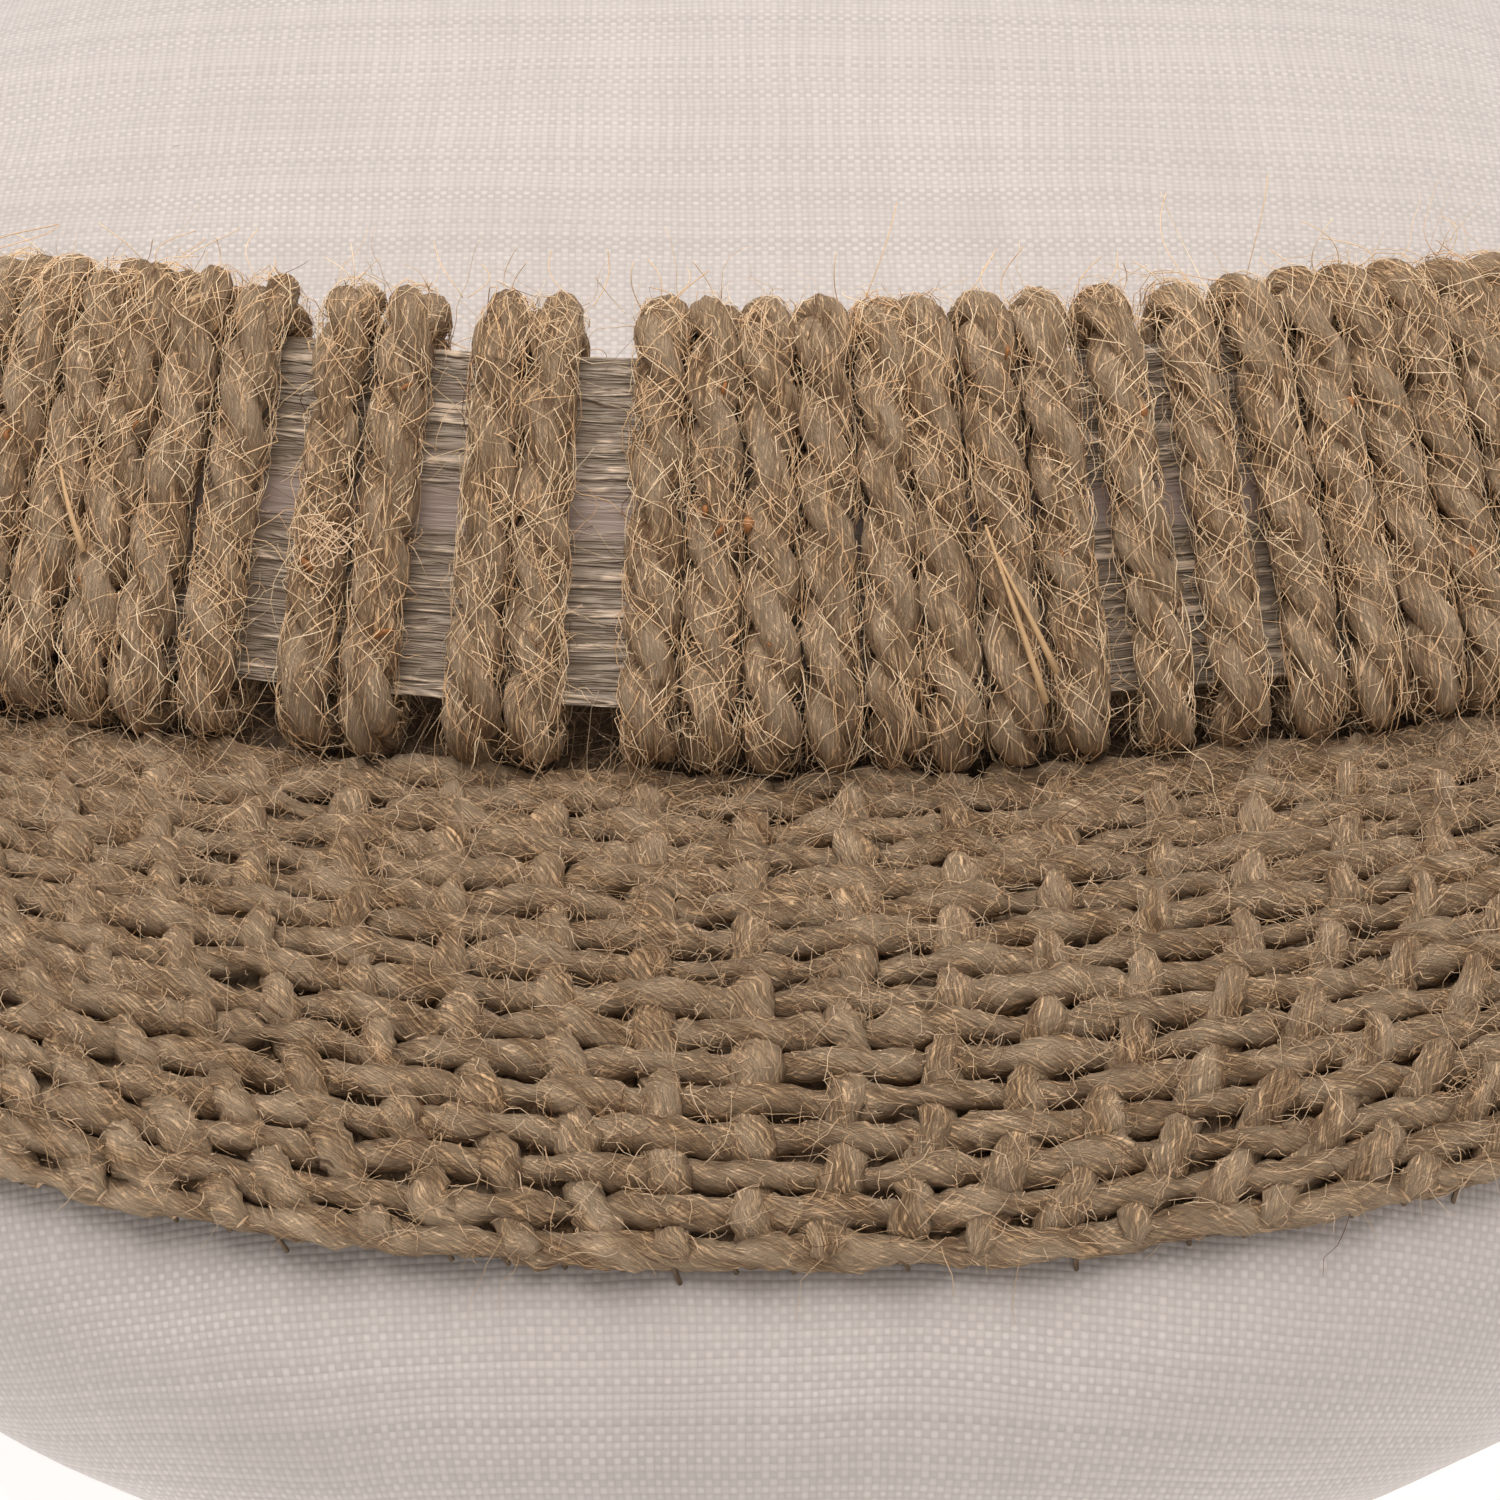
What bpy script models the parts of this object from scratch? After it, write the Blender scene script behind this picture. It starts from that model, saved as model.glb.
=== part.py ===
"""Round linen ring bearer pillow with a jute panel and a standing edge whipped with twine.

A Blender 4.5 script in metres, +Z up: blender --background --python part.py
The pillow lies on Z = 0 with its crown on the Z axis, and its front faces -Y.
"""
import math

import bpy
from mathutils import Vector

NAME = "ring_bearer_pillow"

# Fits
GAP = 0.0003                    # left between two pieces that touch
TWINE_CLEARANCE = 0.0011        # from the linen up to the twine under the strip
MOUTH_CLEARANCE = 0.0012        # from the linen up to the panel, at its upper edge
EDGE_CLEARANCE = 0.0004         # and at its lower edge
MERGE_DISTANCE = 0.00005

# Cushion: a superellipse turned about Z
PILLOW_RADIUS = 0.0885
CROWN_RISE = 0.022              # from the widest line up to the crown
BELLY_DROP = 0.020              # from the widest line down to the underside
RADIUS_POWER = 0.5              # under 1 flattens the top and the underside
HEIGHT_POWER = 0.8              # under 1 squares the shoulder
COVER_THICKNESS = 0.0010
TURN_STEPS = 40                 # facets round the pillow
PROFILE_STEPS = 15              # facets from the crown to the cover's lower edge

# Underside
BASE_RADIUS = 0.060
BASE_THICKNESS = 0.0010
SEAM_LAP = 0.003                # how far the cover's edge reaches over the base panel
SEAM_CORD_RADIUS = 0.0005
COVER_SEAT = 0.00055            # from the base panel up to the cover's lower edge

# Standing edge: a thin wooden strip, set in front of the crown and leaning back over it
STRIP_HEIGHT = 0.0213
STRIP_THICKNESS = 0.0012
STRIP_HALF_LENGTH = 0.0745
STRIP_FRONT = 0.0444            # from the crown to the strip's lower edge
STRIP_PLAN_RADIUS = 0.1485      # the bend of its lower edge, seen from above
STRIP_FAN = 1.0                 # how far its rise turns in towards the bend's centre
STRIP_LEAN = math.radians(43)   # above the horizontal, at the middle
STRIP_END_LEAN = math.radians(15)    # and at its two ends
STRIP_FLATTENING = 4            # the power with which it lies down towards its ends

# Whipping: one jute twine wound round the strip
TWINE_RADIUS = 0.0016
TWINE_SPACING = 0.0005          # left between two turns of a group
TWINE_LEAN = 0.0002             # a turn's top lies this far to -X of its foot
TWINE_GROUPS = (                # number of turns, bare strip after them
    (11, 0.0031),
    (2, 0.0032),
    (2, 0.0036),
    (8, 0.0021),
    (1, 0.0015),
    (1, 0.0014),
    (10, 0.0),
)
ARC_STEPS = 3                   # facets where the twine rounds the strip's edge
RUN_STEPS = 3                   # and along each face of the strip

# Jute panel
PANEL_THICKNESS = 0.0018
PANEL_END_INSET = 0.0045        # its upper edge stops this far short of the strip's end
PANEL_SPREAD = math.radians(62)  # its lower edge, round the pillow from the front
PANEL_EDGE_FRONT = 0.0146       # its lower edge above the widest line, at the front
PANEL_EDGE_SIDE = 0.0064        # and at its two ends
PANEL_BULGE = 0.0015            # how far its middle stands off
PANEL_TUCK = 0.0006             # how far its upper edge reaches in under the twine
PANEL_COLUMNS = 36
PANEL_ROWS = 7

# Stitching
EDGE_THREAD_RADIUS = 0.0005
END_STITCH_RADIUS = 0.0007
END_STITCH_SLACK = 0.0006       # it goes over the strip a little loosely
END_STITCH_INSET = 0.0015       # from the strip's end

# Worked out from the sizes above
WIDEST_HEIGHT = BELLY_DROP
OPENING_RADIUS = BASE_RADIUS - SEAM_LAP
OPENING_SHARE = (OPENING_RADIUS / PILLOW_RADIUS) ** (1 / RADIUS_POWER)
OPENING_RISE = math.cos(math.asin(OPENING_SHARE)) ** HEIGHT_POWER
BELLY_REACH = (BELLY_DROP - BASE_THICKNESS - COVER_SEAT) / OPENING_RISE
WRAP_RADIUS = STRIP_THICKNESS / 2 + GAP + TWINE_RADIUS
WRAP_REACH = WRAP_RADIUS + TWINE_RADIUS
TWINE_PITCH = 2 * TWINE_RADIUS + TWINE_SPACING
STITCH_ROOM = END_STITCH_INSET + END_STITCH_RADIUS + GAP
WHIPPING_END = STRIP_HALF_LENGTH - STITCH_ROOM - TWINE_LEAN - TWINE_RADIUS
END_STITCH_PLACE = STRIP_HALF_LENGTH - END_STITCH_INSET
PANEL_HALF_LENGTH = STRIP_HALF_LENGTH - PANEL_END_INSET
STRIP_LIFT = WRAP_REACH + TWINE_CLEARANCE
PANEL_MOUTH_LIFT = PANEL_THICKNESS / 2 + MOUTH_CLEARANCE
PANEL_EDGE_LIFT = PANEL_THICKNESS / 2 + EDGE_CLEARANCE


def clear_scene():
    for obj in list(bpy.data.objects):
        bpy.data.objects.remove(obj, do_unlink=True)


def make_collection():
    collection = bpy.data.collections.new(NAME)
    bpy.context.scene.collection.children.link(collection)
    return collection


def material(name, color, roughness, metallic=0.0):
    mat = bpy.data.materials.new(name)
    mat.use_nodes = True
    shader = mat.node_tree.nodes["Principled BSDF"]
    shader.inputs["Base Color"].default_value = (*color, 1.0)
    shader.inputs["Roughness"].default_value = roughness
    shader.inputs["Metallic"].default_value = metallic
    mat.diffuse_color = (*color, 1.0)
    return mat


def finish_node(obj, name, mat):
    """Name an object, move it to the part's collection and give it its material."""
    obj.name = name
    obj.data.name = name
    obj.data.materials.clear()
    obj.data.materials.append(mat)
    for owner in list(obj.users_collection):
        owner.objects.unlink(obj)
    bpy.data.collections[NAME].objects.link(obj)
    return obj


# ---------------------------------------------------------------- the cushion's skin

def skin_profile(angle, offset=0.0):
    """Radius and height of the skin, from the crown (0) over the widest line (pi / 2)."""
    def curve(a):
        reach = PILLOW_RADIUS * max(math.sin(a), 0.0) ** RADIUS_POWER
        rise = abs(math.cos(a)) ** HEIGHT_POWER
        height = rise * CROWN_RISE if a <= math.pi / 2 else -rise * BELLY_REACH
        return Vector((reach, WIDEST_HEIGHT + height))

    if offset == 0.0:
        return curve(angle)
    step = 0.002
    along = curve(min(angle + step, math.pi)) - curve(max(angle - step, 0.0))
    outward = Vector((-along.y, along.x)).normalized()
    return curve(angle) + outward * offset


def skin_angle(radius):
    """The profile angle of the upper skin at a radius."""
    share = min(radius / PILLOW_RADIUS, 1.0)
    return math.asin(share ** (1 / RADIUS_POWER))


def skin_height(x, y):
    return skin_profile(skin_angle(math.hypot(x, y))).y


def skin_point(angle, turn, offset):
    """A point off the skin, turned from the front (-Y) towards +X."""
    radius, height = skin_profile(angle, offset)
    return Vector((radius * math.sin(turn), -radius * math.cos(turn), height))


def turned(name, mat, profile):
    """A closed body turned about Z from its profile, which starts and ends on the axis."""
    mesh = bpy.data.meshes.new(name)
    edges = [(i, i + 1) for i in range(len(profile) - 1)]
    mesh.from_pydata([(radius, 0.0, height) for radius, height in profile], edges, [])
    obj = bpy.data.objects.new(name, mesh)
    bpy.context.scene.collection.objects.link(obj)
    screw = obj.modifiers.new("turn", "SCREW")
    screw.axis = "Z"
    screw.steps = TURN_STEPS
    screw.render_steps = TURN_STEPS
    screw.use_merge_vertices = True
    screw.merge_threshold = MERGE_DISTANCE
    screw.use_smooth_shade = True
    return finish_node(obj, name, mat)


def profile_angles(last):
    """Angles from the crown to the last one, close together where the skin bends."""
    angles = []
    for i in range(1, PROFILE_STEPS + 1):
        share = i / PROFILE_STEPS
        angles.append(last * share ** 1.25)
    return angles


def make_linen_cover(mat):
    opening = math.pi - skin_angle(OPENING_RADIUS)
    angles = profile_angles(opening)
    crown = WIDEST_HEIGHT + CROWN_RISE
    outer = [(0.0, crown)] + [tuple(skin_profile(a)) for a in angles]
    inner = [tuple(skin_profile(a, -COVER_THICKNESS)) for a in reversed(angles)]
    return turned("linen_cover", mat, outer + inner + [(0.0, crown - COVER_THICKNESS)])


def make_filling(mat):
    inset = COVER_THICKNESS + GAP
    floor = BASE_THICKNESS + GAP
    top = WIDEST_HEIGHT + CROWN_RISE - inset
    opening = math.pi - skin_angle(OPENING_RADIUS)
    points = [(0.0, top)]
    for angle in profile_angles(opening):
        radius, height = skin_profile(angle, -inset)
        points.append((radius, max(height, floor)))
    points += [(OPENING_RADIUS - inset - COVER_THICKNESS, floor), (0.0, floor)]
    return turned("filling_pad", mat, points)


def make_base_panel(mat):
    bpy.ops.mesh.primitive_cylinder_add(
        vertices=TURN_STEPS, radius=BASE_RADIUS, depth=BASE_THICKNESS,
        location=(0, 0, BASE_THICKNESS / 2))
    return finish_node(bpy.context.object, "base_panel", mat)


def make_base_seam(mat):
    bpy.ops.mesh.primitive_torus_add(
        major_segments=TURN_STEPS, minor_segments=6, minor_radius=SEAM_CORD_RADIUS,
        major_radius=BASE_RADIUS + GAP + SEAM_CORD_RADIUS,
        location=(0, 0, BASE_THICKNESS / 2 + SEAM_CORD_RADIUS / 2))
    obj = finish_node(bpy.context.object, "base_seam_cord", mat)
    obj.data.shade_smooth()
    return obj


# ---------------------------------------------------------------- the standing edge

def strip_frame(place):
    """The strip's foot at a place along it, and the way that it rises from there."""
    x = place
    y = place ** 2 / (2 * STRIP_PLAN_RADIUS) - STRIP_FRONT
    foot = Vector((x, y, skin_height(x, y) + STRIP_LIFT))
    flattened = abs(place / STRIP_HALF_LENGTH) ** STRIP_FLATTENING
    lean = STRIP_LEAN + (STRIP_END_LEAN - STRIP_LEAN) * flattened
    inward = Vector((-STRIP_FAN * place / STRIP_PLAN_RADIUS, 1.0, 0.0)).normalized()
    rise = inward * math.cos(lean) + Vector((0, 0, 1)) * math.sin(lean)
    return foot, rise


def strip_point(place, height, depth):
    """A point along, up and in front of the strip's middle layer."""
    foot, rise = strip_frame(place)
    step = 0.0005
    before, rise_before = strip_frame(place - step)
    after, rise_after = strip_frame(place + step)
    along = after + rise_after * height - before - rise_before * height
    return foot + rise * height + along.cross(rise).normalized() * depth


def grid_sheet(name, mat, columns, rows, thickness, place_vertex):
    """A grid whose corners (-1..1, 0..1) are placed by a function, then thickened."""
    bpy.ops.mesh.primitive_grid_add(x_subdivisions=columns, y_subdivisions=rows, size=2)
    obj = bpy.context.object
    for vertex in obj.data.vertices:
        vertex.co = place_vertex(vertex.co.x, (vertex.co.y + 1) / 2)
    obj.data.shade_smooth()
    shell = obj.modifiers.new("thickness", "SOLIDIFY")
    shell.thickness = thickness
    shell.offset = 0.0
    shell.use_even_offset = True
    return finish_node(obj, name, mat)


def make_strip(mat):
    def place_vertex(across, up):
        return strip_point(across * STRIP_HALF_LENGTH, up * STRIP_HEIGHT, 0.0)

    return grid_sheet("edge_strip", mat, 40, 4, STRIP_THICKNESS, place_vertex)


def tube(name, mat, points, radius):
    """A round bar along a chain of points, with closed ends."""
    curve = bpy.data.curves.new(name, "CURVE")
    curve.dimensions = "3D"
    curve.bevel_depth = radius
    curve.bevel_resolution = 2
    curve.use_fill_caps = True
    spline = curve.splines.new("POLY")
    spline.points.add(len(points) - 1)
    for target, point in zip(spline.points, points):
        target.co = (*point, 1.0)
    obj = bpy.data.objects.new(name, curve)
    bpy.context.scene.collection.objects.link(obj)
    return finish_node(obj, name, mat)


def turn_places():
    """Where each turn of the whipping lies along the strip, as far as there is room."""
    places = []
    place = -WHIPPING_END
    for count, bare in TWINE_GROUPS:
        places += [place + i * TWINE_PITCH for i in range(count)]
        place = places[-1] + 2 * TWINE_RADIUS + bare
    return [place for place in places if place <= WHIPPING_END]


def edge_arc(place, centre_height, start):
    """The twine's points round one edge of the strip, from an angle over half a turn."""
    reach = WRAP_RADIUS / math.cos(math.pi / (2 * ARC_STEPS))
    points = []
    for i in range(ARC_STEPS + 1):
        angle = start + math.pi * i / ARC_STEPS
        radius = WRAP_RADIUS if i in (0, ARC_STEPS) else reach
        points.append(strip_point(place, centre_height + radius * math.sin(angle),
                                  radius * math.cos(angle)))
    return points


def face_run(start, end, depth):
    """The twine's points on one face of the strip, between its edges: (place, height)."""
    points = []
    for i in range(1, RUN_STEPS):
        share = i / RUN_STEPS
        place = start[0] + (end[0] - start[0]) * share
        height = start[1] + (end[1] - start[1]) * share
        points.append(strip_point(place, height, depth))
    return points


def make_whipping(mat):
    points = []
    last_top = None
    for place in turn_places():
        top = place - TWINE_LEAN
        if last_top is not None:
            points += face_run((last_top, STRIP_HEIGHT), (place, 0.0), -WRAP_RADIUS)
        points += edge_arc(place, 0.0, math.pi)
        points += face_run((place, 0.0), (top, STRIP_HEIGHT), WRAP_RADIUS)
        points += edge_arc(top, STRIP_HEIGHT, 0.0)
        last_top = top
    return tube("whipping_twine", mat, points, TWINE_RADIUS)


def make_end_stitch(name, mat, side):
    """A stitch over one end of the strip, down to the linen before and behind it."""
    place = side * END_STITCH_PLACE
    clear = END_STITCH_SLACK + END_STITCH_RADIUS
    reach = STRIP_THICKNESS / 2 + clear
    crossing = [
        strip_point(place, -clear, 0.0),
        strip_point(place, -clear * 0.7, reach),
        strip_point(place, STRIP_HEIGHT / 2, reach),
        strip_point(place, STRIP_HEIGHT + clear * 0.7, reach),
        strip_point(place, STRIP_HEIGHT + clear, 0.0),
    ]
    feet = []
    for end in (crossing[0], crossing[-1]):
        feet.append(Vector((end.x, end.y, skin_height(end.x, end.y) + GAP)))
    return tube(name, mat, [feet[0]] + crossing + [feet[1]], END_STITCH_RADIUS)


# ---------------------------------------------------------------- the jute panel

def panel_edge_angle(across):
    """The profile angle of the panel's lower edge, across it from -1 to 1."""
    drop = (PANEL_EDGE_FRONT - PANEL_EDGE_SIDE) * across ** 2
    height = PANEL_EDGE_FRONT - drop
    return math.acos((height / CROWN_RISE) ** (1 / HEIGHT_POWER))


def panel_mouth(across):
    """The profile angle and the turn of the panel's upper edge, in front of the twine."""
    foot, rise = strip_frame(across * PANEL_HALF_LENGTH)
    inward = Vector((rise.x, rise.y, 0.0)).normalized()
    edge = foot - inward * (WRAP_REACH - PANEL_TUCK)
    return skin_angle(math.hypot(edge.x, edge.y)), math.atan2(edge.x, -edge.y)


def panel_point(across, up):
    """A point of the panel's middle layer: up is 0 at its lower edge, 1 at the mouth."""
    mouth_angle, mouth_turn = panel_mouth(across)
    down = 1 - up
    angle = mouth_angle + (panel_edge_angle(across) - mouth_angle) * down
    turn = mouth_turn + (across * PANEL_SPREAD - mouth_turn) * down
    bulge = PANEL_BULGE * 4 * down * up * (1 - across ** 2)
    lift = PANEL_MOUTH_LIFT * up + PANEL_EDGE_LIFT * down + bulge
    return skin_point(angle, turn, lift)


def make_jute_panel(mat):
    return grid_sheet("jute_panel", mat, PANEL_COLUMNS, PANEL_ROWS, PANEL_THICKNESS,
                      panel_point)


def make_edge_thread(mat):
    """The thread that holds the panel's lower edge down, just below that edge."""
    points = []
    for i in range(PANEL_COLUMNS + 1):
        across = 2 * i / PANEL_COLUMNS - 1
        edge = panel_edge_angle(across)
        lift = GAP + EDGE_THREAD_RADIUS
        here = skin_point(edge, across * PANEL_SPREAD, lift)
        step = 0.01
        ahead = skin_point(edge + step, across * PANEL_SPREAD, lift)
        down = (ahead - here).normalized()
        points.append(here + down * (GAP + EDGE_THREAD_RADIUS))
    return tube("panel_edge_thread", mat, points, EDGE_THREAD_RADIUS)


def main():
    clear_scene()
    make_collection()
    linen = material("linen", (0.60, 0.53, 0.49), 0.95)
    filling = material("polyester_filling", (0.85, 0.85, 0.83), 1.0)
    jute = material("jute_cloth", (0.25, 0.15, 0.08), 0.95)
    twine = material("jute_twine", (0.31, 0.18, 0.09), 0.95)
    wood = material("greyed_wood", (0.27, 0.19, 0.13), 0.45)
    thread = material("seam_thread", (0.62, 0.55, 0.50), 0.9)
    make_filling(filling)
    make_linen_cover(linen)
    make_base_panel(linen)
    make_base_seam(thread)
    make_strip(wood)
    make_whipping(twine)
    make_end_stitch("end_stitch_left", twine, -1)
    make_end_stitch("end_stitch_right", twine, 1)
    make_jute_panel(jute)
    make_edge_thread(twine)


main()
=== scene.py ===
"""The looks of a round linen ring bearer pillow, laid out as an add-on and run as a script."""

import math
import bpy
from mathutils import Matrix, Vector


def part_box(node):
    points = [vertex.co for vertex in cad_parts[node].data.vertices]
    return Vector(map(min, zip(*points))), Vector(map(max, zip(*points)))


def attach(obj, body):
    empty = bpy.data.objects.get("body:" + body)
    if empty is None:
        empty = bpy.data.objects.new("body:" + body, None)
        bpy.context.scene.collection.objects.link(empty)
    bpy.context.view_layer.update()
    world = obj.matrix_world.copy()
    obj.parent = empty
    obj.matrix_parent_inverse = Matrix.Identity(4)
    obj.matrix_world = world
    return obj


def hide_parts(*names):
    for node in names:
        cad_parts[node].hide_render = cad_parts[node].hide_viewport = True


bl_info = {
    "name": "Ring bearer pillow",
    "version": (1, 0, 0),
    "blender": (4, 5, 0),
    "location": "3D View > Sidebar > Ring pillow",
    "description": "Builds the linen, jute, twine and wood of a round ring bearer pillow",
    "category": "Add Mesh",
}

import bpy
import numpy as np

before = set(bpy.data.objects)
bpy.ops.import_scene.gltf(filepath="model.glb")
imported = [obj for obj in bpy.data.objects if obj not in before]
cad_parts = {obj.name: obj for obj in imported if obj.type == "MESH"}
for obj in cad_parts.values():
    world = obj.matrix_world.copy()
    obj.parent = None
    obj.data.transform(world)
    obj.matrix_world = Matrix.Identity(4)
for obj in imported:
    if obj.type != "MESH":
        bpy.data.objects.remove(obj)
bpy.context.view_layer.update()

# ---------------------------------------------------------------- sizes taken from the frame

COVER_LOW, COVER_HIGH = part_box("linen_cover")
BASE_LOW, BASE_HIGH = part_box("base_panel")

PILLOW_RADIUS = 0.0885
BASE_RADIUS = (BASE_HIGH[0] - BASE_LOW[0]) / 2
WIDEST_HEIGHT = 0.020
CROWN_RISE = COVER_HIGH[2] - WIDEST_HEIGHT
RADIUS_POWER = 0.5
HEIGHT_POWER = 0.8
SEAM_LAP = 0.003                # how far the cushion reaches in over the base cloth
OPENING_RADIUS = BASE_RADIUS - SEAM_LAP
OPENING_RISE = math.cos(math.asin((OPENING_RADIUS / PILLOW_RADIUS) ** (1 / RADIUS_POWER)))
BELLY_REACH = (WIDEST_HEIGHT - COVER_LOW[2]) / OPENING_RISE ** HEIGHT_POWER

STRIP_HEIGHT = 0.0213
STRIP_THICKNESS = 0.0012
STRIP_HALF_LENGTH = 0.0745
STRIP_FRONT = 0.0444
STRIP_PLAN_RADIUS = 0.1485
STRIP_FAN = 1.0
STRIP_LEAN = math.radians(43)
STRIP_END_LEAN = math.radians(15)
STRIP_FLATTENING = 4
WRAP_RADIUS = 0.0025            # from the strip's middle to the twine's
WRAP_REACH = 0.0041             # and to the outside of the twine's solid
TWINE_CLEARANCE = 0.0011        # from the linen up to the twine under the strip
STRIP_LIFT = WRAP_REACH + TWINE_CLEARANCE

PANEL_HALF_LENGTH = 0.0700
PANEL_SPREAD = math.radians(62)
PANEL_EDGE_FRONT = 0.0146
PANEL_EDGE_SIDE = 0.0064
PANEL_BULGE = 0.0015
PANEL_TUCK = 0.0006
PANEL_MOUTH_LIFT = 0.0021
PANEL_EDGE_LIFT = 0.0013

TWINE_PITCH = 0.0037
TWINE_LEAN = 0.0002
TWINE_STEP = 0.0005             # between two points of its middle line
TWINE_GROUPS = (                # the first turn's place, number of turns
    (-0.0702, 11), (-0.0269, 2), (-0.0168, 2), (-0.0063, 8), (0.0249, 1), (0.0296, 1),
    (0.0342, 10),
)

BACKING_REACH = 0.029           # how fast the backing runs on in under the strip
WEAVE_AMPLITUDE = 0.00042       # how far the panel's yarns go over and under

TUBE_START = 0.137              # each tube's UV starts this much further than the last
TWINE_FUZZ = 5600               # fibres in a piece of close fuzz, and of short loose ones
LONG_HAIRS = 3500
UPRIGHT_FIBRES = 60
CLOTH_HAIRS = 6000
CLOTH_ROOTS = 9000              # places that the panel's loose fibres can start from
MOUTH_HAIRS = 4400

STRAW_CHIP = (0.60, 0.37, 0.18)     # colours of the few odd bits caught in the twine
BARK_CHIP = (0.34, 0.13, 0.035)
PALE_FIBRE = (0.85, 0.60, 0.38)
SEAM_THREAD = (0.60, 0.52, 0.47)

CAMERA_PLACE = (-0.0002, -0.2490, 0.2340)
CAMERA_ELEVATION = math.radians(43)
CAMERA_LENS = 109.2
LAMPS = (                       # name, place, what it points at, width, power
    ("key", (-0.10, 0.10, 0.75), (0.0, -0.02, 0.03), 0.70, 7.8),
    ("front", (0.20, -0.80, 0.55), (0.0, -0.03, 0.03), 0.50, 0.9),
    ("side", (0.70, -0.10, 0.45), (0.0, -0.03, 0.03), 0.40, 0.7),
)
FLOOR_GLOW = 0.55
SKY_STRENGTH = 0.19


# ---------------------------------------------------------------- what a user would change

def length(name, description, default, precision=5):
    return bpy.props.FloatProperty(name=name, description=description, default=default,
                                   unit="LENGTH", precision=precision)


def colour(name, description, default):
    return bpy.props.FloatVectorProperty(name=name, description=description,
                                         default=default, subtype="COLOR", min=0, max=1)


class PillowSizes(bpy.types.PropertyGroup):
    """Sizes of the linen, the jute cloth and the twine."""
    linen_pitch: length("Linen thread pitch", "From one linen thread to the next",
                        0.00049, 6)
    warp_pitch: length("Jute warp pitch", "Between the yarns that run front to back", 0.0044)
    weft_pitch: length("Jute weft pitch", "Between the yarns that run across the panel",
                       0.0022)
    ply_radius: length("Ply radius", "Radius of one of the twine's two plies", 0.00108)
    ply_pitch: length("Ply pitch", "Length of twine in which a ply turns once round", 0.0092)
    fibre_radius: length("Fibre radius", "Radius of a loose jute fibre", 0.000030, 6)


class PillowColours(bpy.types.PropertyGroup):
    """Colours of the finishes."""
    linen: colour("Linen", "Colour of the linen's threads", (0.483, 0.424, 0.388))
    jute: colour("Jute", "Colour of the jute yarns", (0.70, 0.425, 0.215))
    straw: colour("Straw", "Colour of the palest jute fibres", (0.95, 0.69, 0.45))
    bark: colour("Bark", "Colour of the darkest flecks in the jute", (0.15, 0.060, 0.018))
    wood: colour("Greyed wood", "Colour of the standing strip", (0.36, 0.265, 0.185))


# ---------------------------------------------------------------- the pillow's shape

def skin_profile(angle, offset=0.0):
    """Radius and height of the skin from the crown (0) over the widest line (pi / 2)."""
    def curve(a):
        a = np.clip(a, 0.0, math.pi)
        rise = np.abs(np.cos(a)) ** HEIGHT_POWER
        scale = np.where(a <= math.pi / 2, CROWN_RISE, -BELLY_REACH)
        reach = PILLOW_RADIUS * np.maximum(np.sin(a), 0.0) ** RADIUS_POWER
        return np.stack([reach, WIDEST_HEIGHT + rise * scale], axis=-1)

    angle = np.asarray(angle, float)
    along = curve(angle + 0.002) - curve(angle - 0.002)
    outward = np.stack([-along[..., 1], along[..., 0]], axis=-1)
    outward /= np.linalg.norm(outward, axis=-1, keepdims=True)
    return curve(angle) + outward * np.asarray(offset)[..., None]


def skin_angle(radius):
    share = np.minimum(np.asarray(radius) / PILLOW_RADIUS, 1.0)
    return np.arcsin(share ** (1 / RADIUS_POWER))


def skin_height(x, y):
    return skin_profile(skin_angle(np.hypot(x, y)))[..., 1]


def skin_point(angle, turn, offset):
    """Points off the skin, turned from the front (-Y) towards +X."""
    profile = skin_profile(angle, offset)
    radius, height = profile[..., 0], profile[..., 1]
    return np.stack([radius * np.sin(turn), -radius * np.cos(turn), height], axis=-1)


def strip_rise(place):
    """The strip's foot at a place along it, and the way that it rises from there."""
    place = np.asarray(place, float)
    y = place ** 2 / (2 * STRIP_PLAN_RADIUS) - STRIP_FRONT
    foot = np.stack([place, y, skin_height(place, y) + STRIP_LIFT], axis=-1)
    flattened = np.abs(place / STRIP_HALF_LENGTH) ** STRIP_FLATTENING
    lean = STRIP_LEAN + (STRIP_END_LEAN - STRIP_LEAN) * flattened
    side = -STRIP_FAN * place / STRIP_PLAN_RADIUS
    flat = np.cos(lean) / np.hypot(side, 1.0)
    return foot, np.stack([side * flat, flat, np.sin(lean)], axis=-1)


def strip_surface(place, height):
    foot, rise = strip_rise(place)
    return foot + rise * np.asarray(height)[..., None]


def strip_point(place, height, depth):
    """Points along, up and in front of the strip's middle layer."""
    step = 0.0005
    along = strip_surface(place + step, height) - strip_surface(place - step, height)
    front = unit(np.cross(along, strip_rise(place)[1]))
    return strip_surface(place, height) + front * np.asarray(depth)[..., None]


def panel_edge_angle(across):
    drop = (PANEL_EDGE_FRONT - PANEL_EDGE_SIDE) * across ** 2
    return np.arccos(((PANEL_EDGE_FRONT - drop) / CROWN_RISE) ** (1 / HEIGHT_POWER))


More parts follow.
